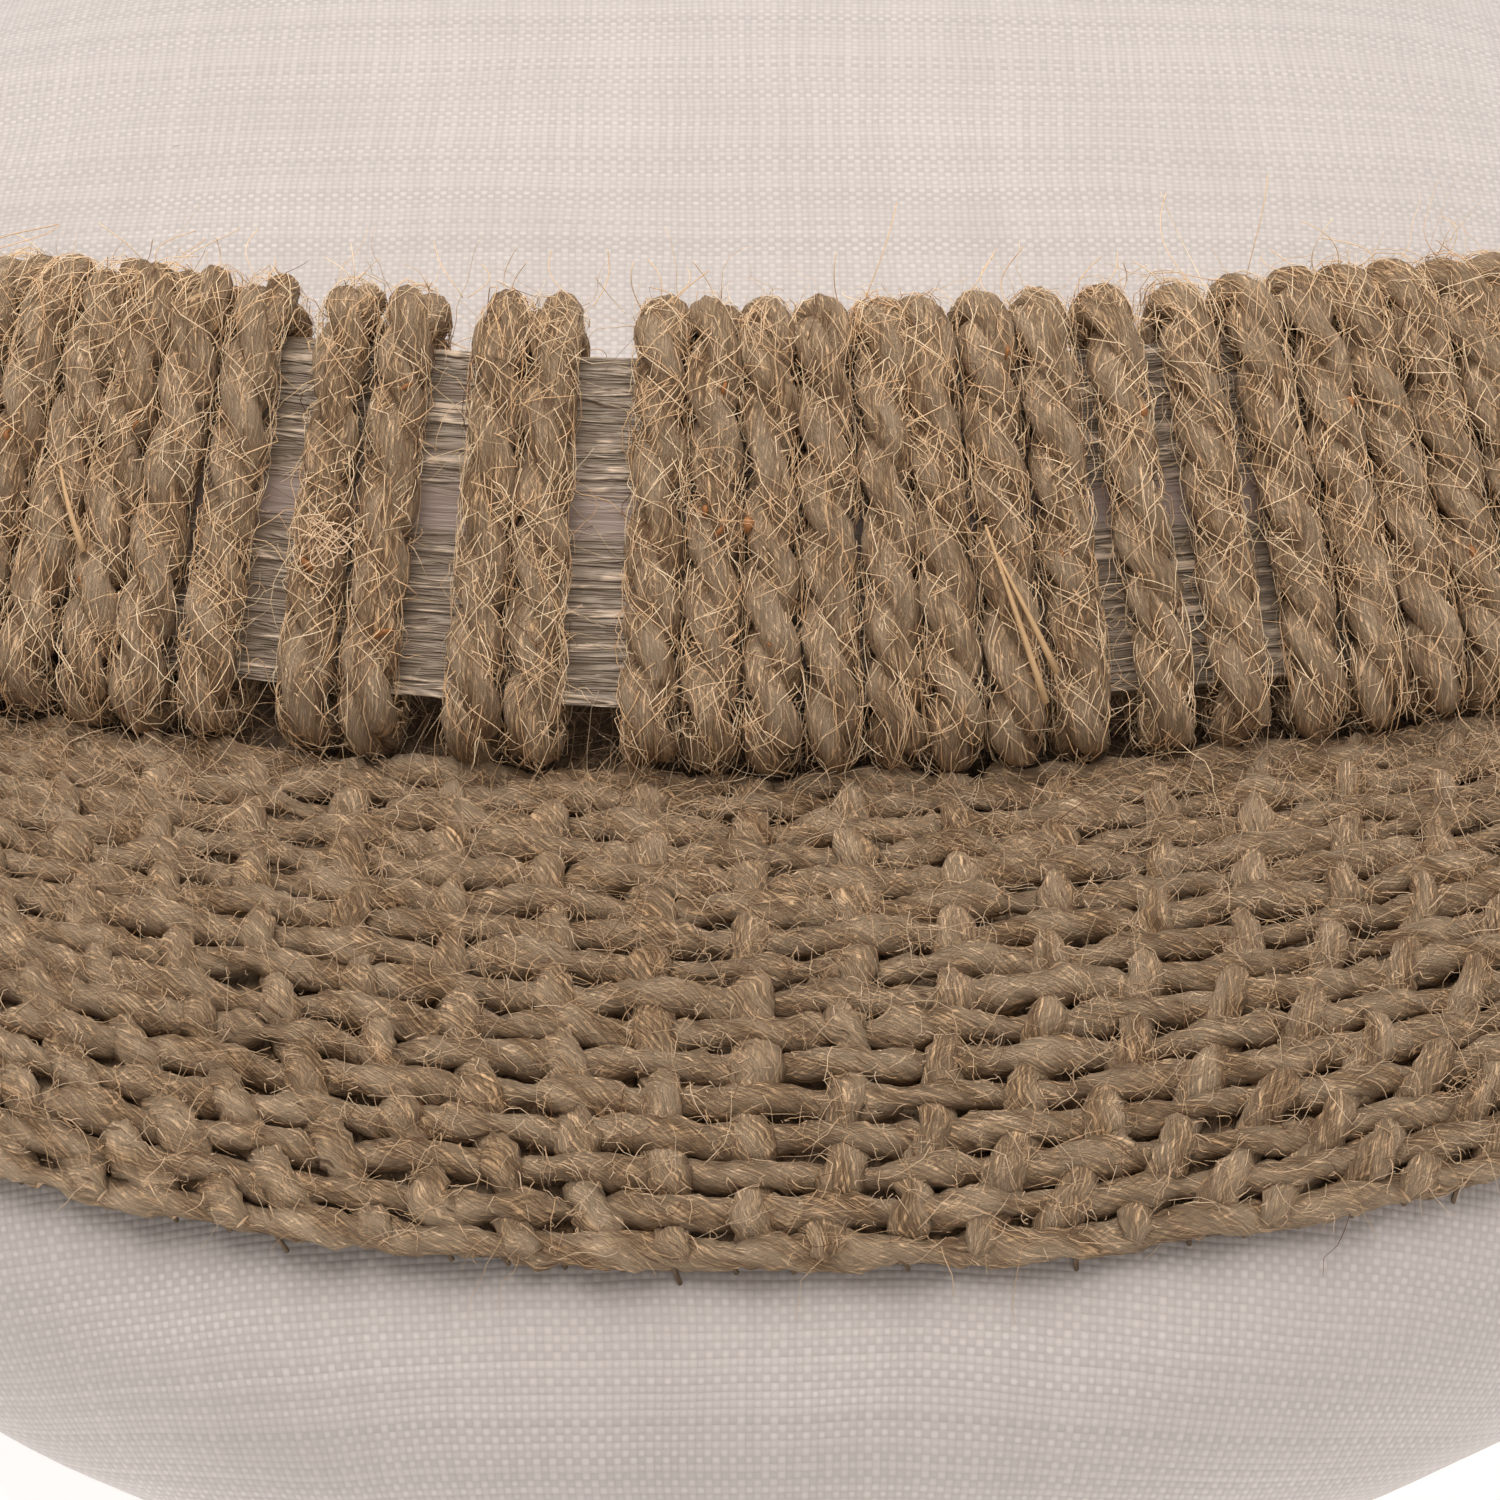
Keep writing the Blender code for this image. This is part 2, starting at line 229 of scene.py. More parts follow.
def panel_point(across, down, lift=0.0):
    """Points of the jute panel: down is 0 at the mouth and 1 at its lower edge."""
    across, down = np.broadcast_arrays(np.asarray(across, float), np.asarray(down, float))
    foot, rise = strip_rise(across * PANEL_HALF_LENGTH)
    inward = unit(rise * np.array([1.0, 1.0, 0.0]))
    edge = foot - inward * (WRAP_REACH - PANEL_TUCK)
    mouth_angle = skin_angle(np.hypot(edge[..., 0], edge[..., 1]))
    mouth_turn = np.arctan2(edge[..., 0], -edge[..., 1])
    angle = mouth_angle + (panel_edge_angle(across) - mouth_angle) * down
    turn = mouth_turn + (across * PANEL_SPREAD - mouth_turn) * down
    bulge = PANEL_BULGE * 4 * np.maximum(down, 0) * (1 - down) * (1 - across ** 2)
    off = PANEL_MOUTH_LIFT * (1 - down) + PANEL_EDGE_LIFT * down + bulge + lift
    return skin_point(angle, turn, off)


def unit(vectors):
    return vectors / np.maximum(np.linalg.norm(vectors, axis=-1, keepdims=True), 1e-12)


# ---------------------------------------------------------------- meshes

def mesh_object(name, points, quads, uvs=None, caps=()):
    """A smooth mesh object from arrays; uvs are per point, or per corner if that many."""
    mesh = bpy.data.meshes.new(name)
    mesh.vertices.add(len(points))
    mesh.vertices.foreach_set("co", np.asarray(points, np.float32).ravel())
    corners = [np.asarray(quads).ravel()] + [np.asarray(c).ravel() for c in caps]
    sizes = [np.full(len(quads), 4)] + [np.full(len(c), np.asarray(c).shape[1]) for c in caps]
    loops = np.concatenate(corners)
    totals = np.concatenate(sizes)
    mesh.loops.add(len(loops))
    mesh.loops.foreach_set("vertex_index", loops)
    mesh.polygons.add(len(totals))
    mesh.polygons.foreach_set("loop_start", np.concatenate([[0], np.cumsum(totals)[:-1]]))
    mesh.polygons.foreach_set("loop_total", totals)
    if uvs is not None:
        layer = mesh.uv_layers.new(name="UVMap")
        per_corner = uvs if len(uvs) == len(loops) else np.asarray(uvs)[loops]
        layer.data.foreach_set("uv", np.asarray(per_corner, np.float32).ravel())
    mesh.update(calc_edges=True)
    mesh.validate()
    mesh.shade_smooth()
    obj = bpy.data.objects.new(name, mesh)
    bpy.context.scene.collection.objects.link(obj)
    return obj


def transported(paths):
    """Two unit vectors across each path of a (count, steps, 3) array, without twist."""
    tangent = unit(np.gradient(paths, axis=1))
    first = np.zeros_like(paths)
    start = np.cross(tangent[:, 0], np.array([0.31, 0.17, 0.93]))
    first[:, 0] = unit(start)
    for i in range(1, paths.shape[1]):
        turned = first[:, i - 1]
        along = tangent[:, i]
        first[:, i] = unit(turned - along * (turned * along).sum(-1, keepdims=True))
    return first, np.cross(tangent, first)


def tubes(name, paths, radii, sides, flat=None, rough=0.0):
    """One mesh of round tubes along paths (count, steps, 3), with closed ends.

    flat holds the two half-widths' shares across the tube and the way of the second.
    The UV runs round the tube (0 to 2) and along it in metres.
    """
    count, steps, _ = paths.shape
    first, second = transported(paths)
    radii = np.broadcast_to(radii, (count, steps))
    turn = np.arange(sides) * 2 * math.pi / sides
    wide, thick = (1.0, 1.0) if flat is None else flat[:2]
    if flat is not None:
        up = flat[2]
        tangent = unit(np.gradient(paths, axis=1))
        second = unit(up - tangent * (up * tangent).sum(-1, keepdims=True))
        first = np.cross(second, tangent)
    ring = (first[:, :, None] * np.cos(turn)[:, None] * wide
            + second[:, :, None] * np.sin(turn)[:, None] * thick)
    lumps = 1 + rough * np.random.default_rng(count).normal(0, 1, ring.shape[:3])
    points = paths[:, :, None] + ring * (radii[:, :, None] * lumps)[..., None]
    index = np.arange(count * steps * sides).reshape(count, steps, sides)
    here, ahead = index[:, :-1], index[:, 1:]
    quads = np.stack([here, np.roll(here, -1, 2), np.roll(ahead, -1, 2), ahead], -1)
    length = np.zeros((count, steps))
    length[:, 1:] = np.cumsum(np.linalg.norm(np.diff(paths, axis=1), axis=-1), axis=1)
    start = np.arange(count)[:, None] * TUBE_START
    along = (length + start)[:, :, None] + np.zeros(sides)
    near = np.broadcast_to(np.arange(sides) / sides * 2, along[:, :-1].shape)
    far = near + 2 / sides
    around = np.stack([near, far, far, near], axis=-1)
    along = np.stack([along[:, :-1], along[:, :-1], along[:, 1:], along[:, 1:]], axis=-1)
    caps = [index[:, 0, ::-1], index[:, -1]]
    ends = np.concatenate([(length + start)[:, 0], (length + start)[:, -1]])
    ends = np.stack([np.full(len(ends) * sides, 0.5), np.repeat(ends, sides)], axis=-1)
    uvs = np.concatenate([np.stack([around, along], axis=-1).reshape(-1, 2), ends])
    return mesh_object(name, points.reshape(-1, 3), quads.reshape(-1, 4), uvs, caps)


def turned_out(first, second, turn):
    """Unit vectors across a line, turned about it."""
    return first * np.cos(turn)[..., None] + second * np.sin(turn)[..., None]


def points_of(obj):
    points = np.zeros(len(obj.data.vertices) * 3, np.float32)
    obj.data.vertices.foreach_get("co", points)
    return points.reshape(-1, 3)


def lay_flat(obj, uvs):
    """Give a mesh one UV for each of its points."""
    layer = obj.data.uv_layers.active or obj.data.uv_layers.new(name="UVMap")
    layer.name = "UVMap"
    loops = np.zeros(len(obj.data.loops), np.int32)
    obj.data.loops.foreach_get("vertex_index", loops)
    layer.data.foreach_set("uv", np.asarray(uvs, np.float32)[loops].ravel())


def thicken(obj, thickness, offset):
    shell = obj.modifiers.new("thickness", "SOLIDIFY")
    shell.thickness = thickness
    shell.offset = offset
    bpy.context.view_layer.objects.active = obj
    bpy.ops.object.modifier_apply(modifier=shell.name)


def distances(line):
    """How far along a line each of its points lies."""
    return np.concatenate([[0], np.cumsum(np.linalg.norm(np.diff(line, axis=0), axis=1))])


def resampled(line, spacing):
    along = distances(line)
    at = np.linspace(0, along[-1], int(along[-1] / spacing) + 1)
    return np.stack([np.interp(at, along, line[:, k]) for k in range(3)], axis=1)


def smoothed(line, width):
    """The line with its corners rounded over a number of points."""
    kernel = np.hanning(width + 2)[1:-1]
    kernel /= kernel.sum()
    padded = np.pad(line, ((width, width), (0, 0)), mode="edge")
    return np.stack([np.convolve(padded[:, k], kernel, "same") for k in range(3)],
                    axis=1)[width:-width]


def wander(rng, count, steps, scale, knots):
    """Smooth random values of about the given size along each of count paths."""
    values = rng.normal(0, scale, (count, knots))
    at = np.linspace(0, knots - 1, steps)
    left = np.minimum(at.astype(int), knots - 2)
    share = at - left
    share = share * share * (3 - 2 * share)
    return values[:, left] * (1 - share) + values[:, left + 1] * share


# ---------------------------------------------------------------- materials

class Nodes:
    """Short calls for building a node tree."""

    def __init__(self, tree):
        self.tree = tree

    def add(self, kind, values=None, **settings):
        node = self.tree.nodes.new(kind)
        for key, value in settings.items():
            setattr(node, key, value)
        for key, value in (values or {}).items():
            self.feed(node.inputs[key], value)
        return node

    def feed(self, socket, value):
        if isinstance(value, bpy.types.NodeSocket):
            self.tree.links.new(value, socket)
        else:
            socket.default_value = value

    def math(self, operation, *values):
        node = self.add("ShaderNodeMath", operation=operation)
        for socket, value in zip(node.inputs, values):
            self.feed(socket, value)
        return node.outputs[0]

    def times(self, a, b):
        return self.math("MULTIPLY", a, b)

    def plus(self, a, b):
        return self.math("ADD", a, b)

    def minus(self, a, b):
        return self.math("SUBTRACT", a, b)

    def blend(self, share, a, b):
        node = self.add("ShaderNodeMix", data_type="RGBA")
        self.feed(node.inputs["Factor"], share)
        self.feed(node.inputs["A"], a)
        self.feed(node.inputs["B"], b)
        return node.outputs["Result"]

    def noise(self, vector, scale, detail=3.0, roughness=0.5, distortion=0.0):
        return self.add("ShaderNodeTexNoise", {
            "Vector": vector, "Scale": scale, "Detail": detail, "Roughness": roughness,
            "Distortion": distortion}).outputs["Fac"]

    def stretched(self, vector, scale, turn=0.0):
        return self.add("ShaderNodeMapping", {
            "Vector": vector, "Scale": scale, "Rotation": (0, 0, turn)}).outputs[0]

    def ramp(self, value, low, high, smooth=True):
        return self.add("ShaderNodeMapRange", {
            "Value": value, "From Min": low, "From Max": high},
            interpolation_type="SMOOTHSTEP" if smooth else "LINEAR").outputs[0]

    def group(self, tree, **values):
        node = self.add("ShaderNodeGroup")
        node.node_tree = tree
        for key, value in values.items():
            self.feed(node.inputs[key.replace("_", " ")], value)
        return node.outputs


def new_group(name, inputs, outputs):
    tree = bpy.data.node_groups.new(name, "ShaderNodeTree")
    for label, kind, default in inputs:
        socket = tree.interface.new_socket(label, in_out="INPUT", socket_type=kind)
        if default is not None:
            socket.default_value = default
    for label, kind in outputs:
        tree.interface.new_socket(label, in_out="OUTPUT", socket_type=kind)
    kit = Nodes(tree)
    return tree, kit, kit.add("NodeGroupInput").outputs, kit.add("NodeGroupOutput")


def plain_weave_group():
    """Height and thread shade of a plain weave over a vector in metres."""
    tree, kit, given, out = new_group(
        "Plain weave",
        [("Vector", "NodeSocketVector", None), ("Pitch", "NodeSocketFloat", 0.0005)],
        [("Height", "NodeSocketFloat"), ("Shade", "NodeSocketFloat"),
         ("Knuckle", "NodeSocketFloat")])
    scale = kit.math("DIVIDE", 1.0, given["Pitch"])
    sway = kit.noise(given["Vector"], 45.0, 2.0)
    sway = kit.times(kit.minus(sway, 0.5), 0.0018)
    parts = kit.add("ShaderNodeSeparateXYZ", {"Vector": given["Vector"]}).outputs
    x = kit.times(kit.plus(parts["X"], sway), scale)
    y = kit.times(kit.minus(parts["Y"], sway), scale)
    column, row = kit.math("FLOOR", x), kit.math("FLOOR", y)
    u = kit.minus(kit.minus(x, column), 0.5)
    v = kit.minus(kit.minus(y, row), 0.5)
    parity = kit.math("MODULO", kit.math("ABSOLUTE", kit.plus(column, row)), 2.0)
    sign = kit.minus(kit.times(parity, 2.0), 1.0)
    hill_u = kit.math("COSINE", kit.times(u, math.pi))
    hill_v = kit.math("COSINE", kit.times(v, math.pi))
    warp = kit.plus(kit.times(hill_u, 0.5), kit.times(kit.times(sign, hill_v), 0.5))
    weft = kit.minus(kit.times(hill_v, 0.5), kit.times(kit.times(sign, hill_u), 0.5))
    height = kit.math("MAXIMUM", warp, weft)
    threads = []
    for index, offset in ((column, 0.37), (row, 11.7)):
        place = kit.add("ShaderNodeCombineXYZ", {"X": index, "Y": offset}).outputs[0]
        threads.append(kit.add("ShaderNodeTexWhiteNoise", {"Vector": place},
                               noise_dimensions="3D").outputs["Value"])
    top = kit.math("GREATER_THAN", weft, warp)
    pick = kit.add("ShaderNodeMix", {"Factor": top, "A": threads[0], "B": threads[1]},
                   data_type="FLOAT").outputs[0]
    knuckle = kit.times(kit.times(hill_u, hill_v), parity)
    kit.feed(out.inputs["Height"], height)
    kit.feed(out.inputs["Shade"], pick)
    kit.feed(out.inputs["Knuckle"], knuckle)
    return tree


def fibre_group():
    """Streaks of fine fibres that run along a yarn, and slow changes of tone."""
    tree, kit, given, out = new_group(
        "Jute fibres",
        [("Vector", "NodeSocketVector", None), ("Slant", "NodeSocketFloat", 0.0)],
        [("Streaks", "NodeSocketFloat"), ("Tone", "NodeSocketFloat"),
         ("Flecks", "NodeSocketFloat")])
    parts = kit.add("ShaderNodeSeparateXYZ", {"Vector": given["Vector"]}).outputs
    slid = kit.plus(parts["X"], kit.times(parts["Y"], given["Slant"]))
    lined = kit.add("ShaderNodeCombineXYZ", {"X": slid, "Y": parts["Y"]}).outputs[0]
    fine = kit.noise(kit.stretched(lined, (13.0, 420.0, 1.0)), 1.5, 4.0, 0.75, 0.5)
    back = kit.minus(parts["X"], kit.times(parts["Y"], kit.times(given["Slant"], 0.6)))
    crossed = kit.add("ShaderNodeCombineXYZ", {"X": back, "Y": parts["Y"]}).outputs[0]
    stray = kit.noise(kit.stretched(crossed, (13.0, 500.0, 1.0)), 1.3, 3.0, 0.7, 0.8)
    fine = kit.plus(kit.times(fine, 0.72), kit.times(stray, 0.28))
    tone = kit.noise(kit.stretched(lined, (1.2, 150.0, 1.0)), 1.5, 3.0)
    fleck = kit.noise(kit.stretched(lined, (7.0, 500.0, 1.0)), 1.1, 1.0)
    kit.feed(out.inputs["Streaks"], kit.ramp(fine, 0.38, 0.60))
    kit.feed(out.inputs["Tone"], kit.ramp(tone, 0.3, 0.7))
    kit.feed(out.inputs["Flecks"], kit.ramp(fleck, 0.68, 0.76))
    return tree


GROUPS = {}


def shared_group(name, build):
    if name not in GROUPS:
        GROUPS[name] = build()
    return GROUPS[name]


def flat_vector(kit):
    return kit.add("ShaderNodeUVMap", uv_map="UVMap").outputs[0]


def new_material(name, roughness):
    mat = bpy.data.materials.new(name)
    mat.use_nodes = True
    kit = Nodes(mat.node_tree)
    shader = mat.node_tree.nodes["Principled BSDF"]
    shader.inputs["Roughness"].default_value = roughness
    return mat, kit, shader


def surface(kit, shader, colour, height, distance, strength=1.0):
    """Join a colour and the height of a relief to the shader."""
    kit.feed(shader.inputs["Base Color"], colour)
    bump = kit.add("ShaderNodeBump", {
        "Height": height, "Distance": distance, "Strength": strength})
    kit.feed(shader.inputs["Normal"], bump.outputs[0])


def tint(colour, share=1.0):
    """A colour made paler or darker, with its alpha."""
    return (*(min(c * share, 1.0) for c in colour), 1.0)


def linen_material():
    colours, sizes = bpy.context.scene.pillow_colours, bpy.context.scene.pillow_sizes
    mat, kit, shader = new_material("linen", 0.92)
    shader.inputs["Sheen Weight"].default_value = 0.25
    shader.inputs["Sheen Roughness"].default_value = 0.6
    vector = flat_vector(kit)
    weave = kit.group(shared_group("weave", plain_weave_group), Vector=vector,
                      Pitch=sizes.linen_pitch)
    linen = tuple(colours.linen)
    pale = tint(linen, 1.32)
    # The deep colour is both painted shade in the weave's gaps and the cloth's own random
    # mottle.
    deep = (linen[0] * 0.74, linen[1] * 0.71, linen[2] * 0.71, 1.0)
    threads = kit.blend(kit.ramp(weave["Shade"], 0.0, 1.6, False), tint(linen), pale)
    # Painted shade: the low gaps between the threads are darkened towards the deep colour.
    painted_gap_shade = kit.ramp(weave["Height"], 0.95, 0.35)
    colour = kit.blend(kit.times(painted_gap_shade, 0.22), threads, deep)
    # Painted highlight: the knuckles where a thread rides on top are made pale, more strongly
    # along some rows.
    slub_highlight = kit.ramp(kit.noise(kit.stretched(vector, (40.0, 900.0, 1.0)), 1.0, 2.0),
                    0.45, 0.75)
    painted_knuckle_highlight = kit.times(weave["Knuckle"], kit.plus(slub_highlight, 0.60))
    colour = kit.blend(kit.math("MINIMUM", painted_knuckle_highlight, 1.0), colour, pale)
    cloud = kit.ramp(kit.noise(vector, 70.0, 5.0, 0.6), 0.35, 0.75)
    colour = kit.blend(kit.times(cloud, 0.16), colour, deep)
    fleck = kit.ramp(kit.noise(kit.stretched(vector, (300.0, 900.0, 1.0)), 1.0, 1.0),
                     0.80, 0.84)
    colour = kit.blend(kit.times(fleck, 0.5), colour, tint(colours.bark))
    surface(kit, shader, colour, weave["Height"], 0.00009, 0.6)
    return mat


def jute_material(name, slant, dark=0.0):
    colours = bpy.context.scene.pillow_colours
    mat, kit, shader = new_material(name, 0.80)
    vector = flat_vector(kit)
    fibres = kit.group(shared_group("fibres", fibre_group), Vector=vector, Slant=slant)
    jute = tuple(c * (1 - dark) for c in colours.jute)
    # Painted shade: the low grooves between the fibre streaks are a dark, warm brown; the
    # streaks also give the bump.
    shade = (jute[0] * 0.22, jute[1] * 0.17, jute[2] * 0.11, 1.0)
    straw = tint(colours.straw, 1 - dark)
    colour = kit.blend(fibres["Streaks"], shade, tint(jute))
    colour = kit.blend(kit.times(fibres["Tone"], 0.55), colour, straw)
    colour = kit.blend(kit.times(fibres["Flecks"], 0.7), colour, tint(colours.bark))
    surface(kit, shader, colour, fibres["Streaks"], 0.00022)
    return mat


def hair_material(name, share=1.0):
    colours = bpy.context.scene.pillow_colours
    mat, kit, shader = new_material(name, 0.5)
    vector = flat_vector(kit)
    parts = kit.add("ShaderNodeSeparateXYZ", {"Vector": vector}).outputs
    which = kit.math("FLOOR", kit.math("DIVIDE", parts["Y"], TUBE_START))
    value = kit.add("ShaderNodeTexWhiteNoise", {"W": which},
                    noise_dimensions="1D").outputs["Value"]
    colour = kit.blend(value, tint(colours.jute, share * 1.15),
                       tint(colours.straw, share * 1.12))
    rare = kit.math("GREATER_THAN", value, 0.965)
    colour = kit.blend(rare, colour, tint(colours.bark))
    kit.feed(shader.inputs["Base Color"], colour)
    return mat


def wood_material():
    colours = bpy.context.scene.pillow_colours
    mat, kit, shader = new_material("greyed_wood", 0.42)
    vector = flat_vector(kit)
    ridge = kit.noise(kit.stretched(vector, (110.0, 1700.0, 1.0)), 1.0, 3.0, 0.65, 0.6)
    ridge = kit.ramp(ridge, 0.36, 0.64)
    broken = kit.ramp(kit.noise(kit.stretched(vector, (420.0, 900.0, 1.0)), 1.0, 2.0),
                      0.42, 0.58)
    parts = kit.add("ShaderNodeSeparateXYZ", {"Vector": vector}).outputs
    wave = kit.noise(kit.stretched(vector, (30.0, 0.0, 1.0)), 1.0, 2.0)
    middle = kit.plus(parts["Y"], kit.times(wave, 0.0025))
    off = kit.math("ABSOLUTE", kit.minus(middle, STRIP_HEIGHT * 0.60))
    rough = kit.ramp(off, 0.0006, 0.0022)
    wood = tuple(colours.wood)
    mauve = (wood[0], wood[1] * 0.98, wood[2] * 1.12, 1.0)
    deep = (wood[0] * 0.42, wood[1] * 0.38, wood[2] * 0.32, 1.0)
    # The near-white colour is only for the painted highlights on the ridge crests.
    crest_highlight_white = (*(min(c * 2.6 + 0.04, 1.0) for c in wood), 1.0)
    colour = kit.blend(rough, mauve, tint(wood))
    # Painted shade: the grooves between the ridges are darkened towards the deep colour, away
    # from the smooth middle streak.
    painted_groove_shade = kit.times(kit.ramp(ridge, 0.45, 0.0), rough)
    colour = kit.blend(kit.times(painted_groove_shade, 0.7), colour, deep)
    # Painted highlight: broken near-white glints on the ridge crests, away from the smooth
    # middle streak.
    painted_crest_highlight = kit.times(kit.times(kit.ramp(ridge, 0.72, 1.0), broken), rough)
    colour = kit.blend(kit.times(painted_crest_highlight, 0.8), colour, crest_highlight_white)
    surface(kit, shader, colour, kit.times(ridge, kit.plus(rough, 0.15)), 0.00030)
    return mat


def plain_material(name, colour, roughness):
    mat, kit, shader = new_material(name, roughness)
    vector = kit.add("ShaderNodeTexCoord").outputs["Object"]
    grain = kit.ramp(kit.noise(vector, 900.0, 3.0), 0.3, 0.7)
    mixed = kit.blend(grain, tint(colour, 0.86), tint(colour))
    surface(kit, shader, mixed, grain, 0.00005, 0.5)
    return mat


def dress(obj, mat):
    obj.data.materials.clear()
    obj.data.materials.append(mat)
    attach(obj, "root")


# ---------------------------------------------------------------- the pieces

def pillow_body():
    """The stuffed linen cover, with the cloth's own flat coordinates as its UV."""
    rng = np.random.default_rng(3)
    columns, rows = 288, 150
    last = math.pi - float(skin_angle(OPENING_RADIUS))
    share = np.linspace(0, 1, rows + 1)[1:]
    angle = last * share ** 1.25
    turn = np.arange(columns) * 2 * math.pi / columns
    grid_angle, grid_turn = np.meshgrid(angle, turn, indexing="ij")
    dents = np.zeros_like(grid_angle)
    for waves in (3, 5, 8, 13, 21):
        for _ in range(2):
            phase, lean = rng.uniform(0, 2 * math.pi), rng.uniform(-1.5, 1.5)
            size = 0.00028 / math.sqrt(waves)
            dents += size * np.sin(waves * grid_turn + lean * 3 * grid_angle + phase)
    hold = np.clip(np.sin(grid_angle), 0, 1) ** 1.5
    under = np.clip((grid_angle - math.pi / 2) / (last - math.pi / 2), 0, 1)
    pucker = 0.0009 * under ** 2 * np.sin(46 * grid_turn) * (1 - under ** 8)
    points = skin_point(grid_angle, grid_turn, dents * hold + pucker)
    crown = np.array([[0, 0, WIDEST_HEIGHT + CROWN_RISE]])
    fold = points[-1] * np.array([0.985, 0.985, 1.0]) + np.array([0, 0, 0.0012])
    closing = np.array([[0, 0, fold[:, 2].mean()]])
    verts = np.concatenate([crown, points.reshape(-1, 3), fold, closing])
    index = 1 + np.arange((rows + 1) * columns).reshape(rows + 1, columns)
    here, ahead = index[:-1], index[1:]
    quads = np.stack([here, ahead, np.roll(ahead, -1, 1), np.roll(here, -1, 1)], -1)
    first, final = index[0], index[-1]
    top = np.stack([np.zeros(columns, int), first, np.roll(first, -1)], -1)
    bottom = np.stack([final, np.full(columns, len(verts) - 1), np.roll(final, -1)], -1)
    reach = np.concatenate([[0], np.hypot(*np.diff(skin_profile(
        np.concatenate([[0], angle])), axis=0).T)]).cumsum()
    flat = reach[1:, None, None] * np.stack([np.sin(turn), -np.cos(turn)], -1)[None]
    uvs = np.concatenate([[[0, 0]], flat.reshape(-1, 2), flat[-1] * 0.99, [[0, 0]]])
    return mesh_object("linen_cushion", verts, quads.reshape(-1, 4), uvs, [top, bottom])


class PILLOW_OT_cushion(bpy.types.Operator):
    """Make the stuffed linen cushion"""
    bl_idname = "pillow.cushion"
    bl_label = "Linen cushion"

    def execute(self, context):
        body = pillow_body()
        dress(body, linen_material())
        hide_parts("linen_cover", "filling_pad")
        return {"FINISHED"}


class PILLOW_OT_base(bpy.types.Operator):
    """Make the base cloth and the stitches that close the cushion to it"""
    bl_idname = "pillow.base"
    bl_label = "Base cloth and seam"

    def execute(self, context):
        bpy.ops.object.select_all(action="DESELECT")
        bpy.ops.mesh.primitive_circle_add(
            vertices=96, radius=BASE_RADIUS, fill_type="NGON",
            location=(0, 0, BASE_HIGH[2]))
        cloth = context.object
        cloth.name = "base_cloth"
        bpy.ops.object.mode_set(mode="EDIT")
        bpy.ops.mesh.select_all(action="SELECT")
        for inset in (0.0008, 0.0010, 0.0040, 0.0100, 0.0200):
            bpy.ops.mesh.inset(thickness=inset)
        bpy.ops.object.mode_set(mode="OBJECT")
        for vertex in cloth.data.vertices:
            if math.hypot(vertex.co.x, vertex.co.y) <= BASE_RADIUS - 0.0012:
                vertex.co.z -= 0.0004
        bpy.ops.object.transform_apply(location=True, rotation=True, scale=True)
        thicken(cloth, 0.0005, -1.0)
        lay_flat(cloth, points_of(cloth)[:, :2])
        dress(cloth, linen_material())
        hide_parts("base_panel")
        stitches = self.seam()
        dress(stitches, plain_material("seam_thread", SEAM_THREAD, 0.7))
        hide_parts("base_seam_cord")
        return {"FINISHED"}

    def seam(self):
        count, steps = 120, 9
        turn = np.arange(count)[:, None] * 2 * math.pi / count
        share = np.linspace(0, 1, steps)[None]
        turn = turn + share * 0.62 * 2 * math.pi / count
        radius = BASE_RADIUS - 0.0006 + 0.0024 * share
        height = 0.0006 + 0.0018 * share - 0.0008 * np.sin(math.pi * share)
        height = np.maximum(height, 0.0004)
        paths = np.stack([radius * np.sin(turn), -radius * np.cos(turn),
                          height + 0 * turn], -1)
        return tubes("base_stitches", paths, 0.00028, 6)


def twine_path():
    """The middle of the twine, over all the turns of the whipping."""
    rng = np.random.default_rng(11)
    places = np.array([first + i * TWINE_PITCH for first, count in TWINE_GROUPS
                       for i in range(count)])
    places = places + rng.normal(0, 0.00012, len(places))
    tops = places - TWINE_LEAN + rng.normal(0, 0.00025, len(places))
    parts = []
    arc = np.linspace(0, math.pi, 9)
    run = np.linspace(0, 1, 14)[1:-1]
    swell = 0.00012 * np.sin(math.pi * run)
    for i, (place, top) in enumerate(zip(places, tops)):
        if i:
            parts.append(strip_point(tops[i - 1] + (place - tops[i - 1]) * run,
                                     STRIP_HEIGHT * (1 - run), -WRAP_RADIUS - swell))
        parts.append(strip_point(np.full(9, place), -WRAP_RADIUS * np.sin(arc),
                                 -WRAP_RADIUS * np.cos(arc)))
        parts.append(strip_point(place + (top - place) * run, STRIP_HEIGHT * run,
                                 WRAP_RADIUS + swell))
        parts.append(strip_point(np.full(9, top), STRIP_HEIGHT + WRAP_RADIUS * np.sin(arc),
                                 WRAP_RADIUS * np.cos(arc)))
    line = resampled(np.concatenate(parts), TWINE_STEP)
    return smoothed(line, 5)


def twine_plies(line):
    """The two plies, wound round the twine's middle line."""
    sizes = bpy.context.scene.pillow_sizes
    rng = np.random.default_rng(5)
    steps = len(line)
    first, second = transported(line[None])
    along = np.arange(steps) * TWINE_STEP
    wobble = wander(rng, 1, steps, 0.35, steps // 12)[0]
    turn = wobble - 2 * math.pi * along / sizes.ply_pitch
    plies = []
    for phase in (0.0, math.pi):
        out = turned_out(first[0], second[0], turn + phase)
        plies.append(line + out * sizes.ply_radius * 0.66)
    paths = np.stack(plies)
    radii = sizes.ply_radius * (1 + wander(rng, 2, steps, 0.07, steps // 5))
    return tubes("twine_plies", paths, radii, 10, rough=0.05)


